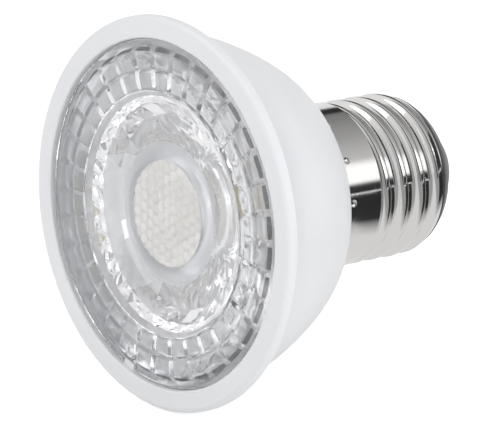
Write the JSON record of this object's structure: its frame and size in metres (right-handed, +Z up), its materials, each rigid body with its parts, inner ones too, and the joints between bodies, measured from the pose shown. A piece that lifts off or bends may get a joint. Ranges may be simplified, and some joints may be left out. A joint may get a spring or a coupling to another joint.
{
  "type": "led spotlight bulb",
  "caption": "Reflector-style LED spotlight bulb: white bowl housing with a clear faceted lens, and a plated screw cap with insulated centre contact; driver and light source inside.",
  "frame": {"origin": "middle of the centre contact's end face, on the bulb's axis", "axes": "+Y along the bulb's axis, out of the cap's end; the lens faces -Y; +Z is up when the bulb is held level, +X to the right seen from the cap's side"},
  "size_m": [0.063, 0.056, 0.063],
  "materials": {
    "white_plastic": "satin white moulding",
    "aluminium": "spun, bare",
    "clear_lens": "clear polished moulding",
    "thermal_pad": "soft grey silicone",
    "white_solder_mask": "white mask on a metal core",
    "ceramic": "white ceramic",
    "phosphor": "yellow phosphor in silicone",
    "steel": "zinc plated",
    "plated_shell": "bright nickel on drawn metal",
    "black_insulator": "black moulding",
    "contact_brass": "turned brass",
    "circuit_board": "green mask",
    "capacitor_sleeve": "shrunk dark sleeve",
    "film_capacitor": "dipped coating",
    "ferrite": "pressed ferrite",
    "copper_winding": "enamelled copper wire",
    "resistor_body": "flameproof coating",
    "chip_black": "moulded epoxy",
    "wire_red": "wire insulation",
    "wire_black": "wire insulation"
  },
  "bodies": {
    "root": {"housing": "white_plastic", "heat_sink_cup": "aluminium", "lens": "clear_lens", "thermal_pad": "thermal_pad", "led_board": "white_solder_mask", "cob_substrate": "ceramic", "phosphor_disc": "phosphor", "board_screws": "steel", "screw_shell": "plated_shell", "base_insulator": "black_insulator", "centre_contact": "contact_brass", "driver_board": "circuit_board", "bulk_capacitor": "capacitor_sleeve", "film_capacitor": "film_capacitor", "output_capacitor": "capacitor_sleeve", "inductor_core": "ferrite", "inductor_winding": "copper_winding", "fusible_resistor": "resistor_body", "bridge_rectifier": "chip_black", "controller_ic": "chip_black", "output_diode": "chip_black", "chip_resistors": "chip_black", "line_wire": "wire_red", "neutral_wire": "wire_black", "led_lead_positive": "wire_red", "led_lead_negative": "wire_black"}
  },
  "joints": []
}
